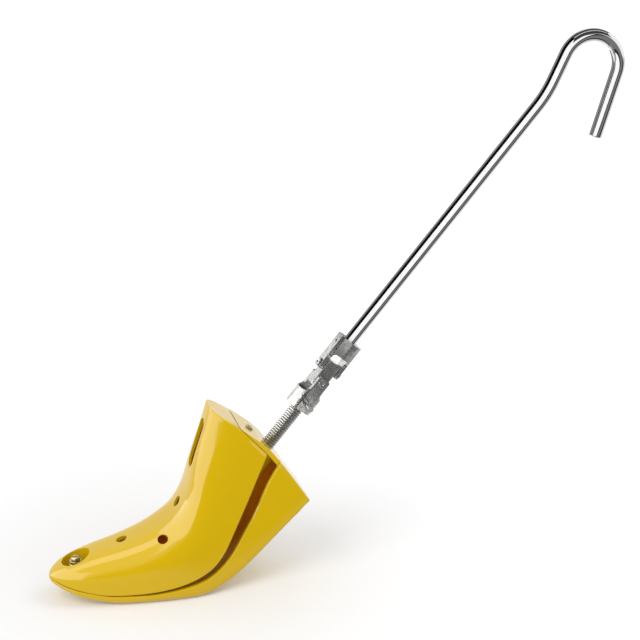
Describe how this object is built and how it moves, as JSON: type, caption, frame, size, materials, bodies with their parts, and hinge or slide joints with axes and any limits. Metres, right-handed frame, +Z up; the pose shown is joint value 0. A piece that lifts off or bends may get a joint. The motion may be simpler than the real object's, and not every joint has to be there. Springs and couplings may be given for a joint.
{
  "type": "boot stretcher",
  "caption": "Hollow split last for a boot, opened at the heel by a long hooked handle that turns a spindle through a universal joint.",
  "frame": {"origin": "on the flat rest of the sole, under the ball of the foot, in the mirror plane", "axes": "+Z up, the toe points to -X and the heel to +X, Y across the last"},
  "size_m": [0.4081, 0.058, 0.3749],
  "materials": {
    "yellow_plastic": "glossy moulded yellow",
    "plated_steel": "satin nickel plating",
    "chromed_steel": "bright chrome",
    "dark_steel": "dark oiled steel"
  },
  "bodies": {
    "sole_half": {"lower_last": "yellow_plastic", "thrust_plate": "dark_steel", "plate_screw_near": "plated_steel", "plate_screw_far": "plated_steel", "toe_screw": "plated_steel", "toe_washer": "plated_steel", "toe_spring": "plated_steel", "toe_nut": "plated_steel"},
    "instep_half": {"upper_last": "yellow_plastic", "top_guide": "yellow_plastic", "guide_screw": "plated_steel", "spindle_nut": "plated_steel"},
    "foot": {"thrust_foot": "dark_steel"},
    "spindle": {"threaded_spindle": "plated_steel", "spindle_cross_pin": "plated_steel", "lower_yoke": "plated_steel", "lower_pivot_pin": "plated_steel"},
    "link": {"link_block": "plated_steel"},
    "handle": {"upper_yoke": "plated_steel", "upper_pivot_pin": "plated_steel", "handle_cross_pin": "plated_steel", "handle_hook": "chromed_steel"}
  },
  "joints": [
    {"name": "toe_hinge", "type": "hinge", "parent": "sole_half", "child": "instep_half", "pos_m": [-0.06219, 0, 0.0169], "axis": [0, -1, 0], "range_deg": [0, 8.1], "deforming": ["toe_spring"]},
    {"name": "spindle_advance", "type": "slide", "parent": "instep_half", "child": "foot", "axis": [-0.6428, 0, -0.766], "range_m": [0, 0.00901]},
    {"name": "spindle_turn", "type": "hinge", "parent": "foot", "child": "spindle", "pos_m": [0.09243, 0, 0.09636], "axis": [-0.6428, 0, -0.766], "range_deg": [0, 1800]},
    {"name": "lower_pivot", "type": "hinge", "parent": "spindle", "child": "link", "pos_m": [0.13029, 0, 0.14148], "axis": [0, 1, 0], "range_deg": [-60, 60]},
    {"name": "upper_pivot", "type": "hinge", "parent": "link", "child": "handle", "pos_m": [0.13678, 0, 0.14922], "axis": [0.766, 0, -0.6428], "range_deg": [-60, 60]}
  ],
  "couplings": [
    {"joint": "spindle_advance", "follows": "spindle_turn", "m_per_rad": 0.00028648},
    {"joint": "toe_hinge", "follows": "spindle_turn", "ratio": 0.0044484}
  ]
}
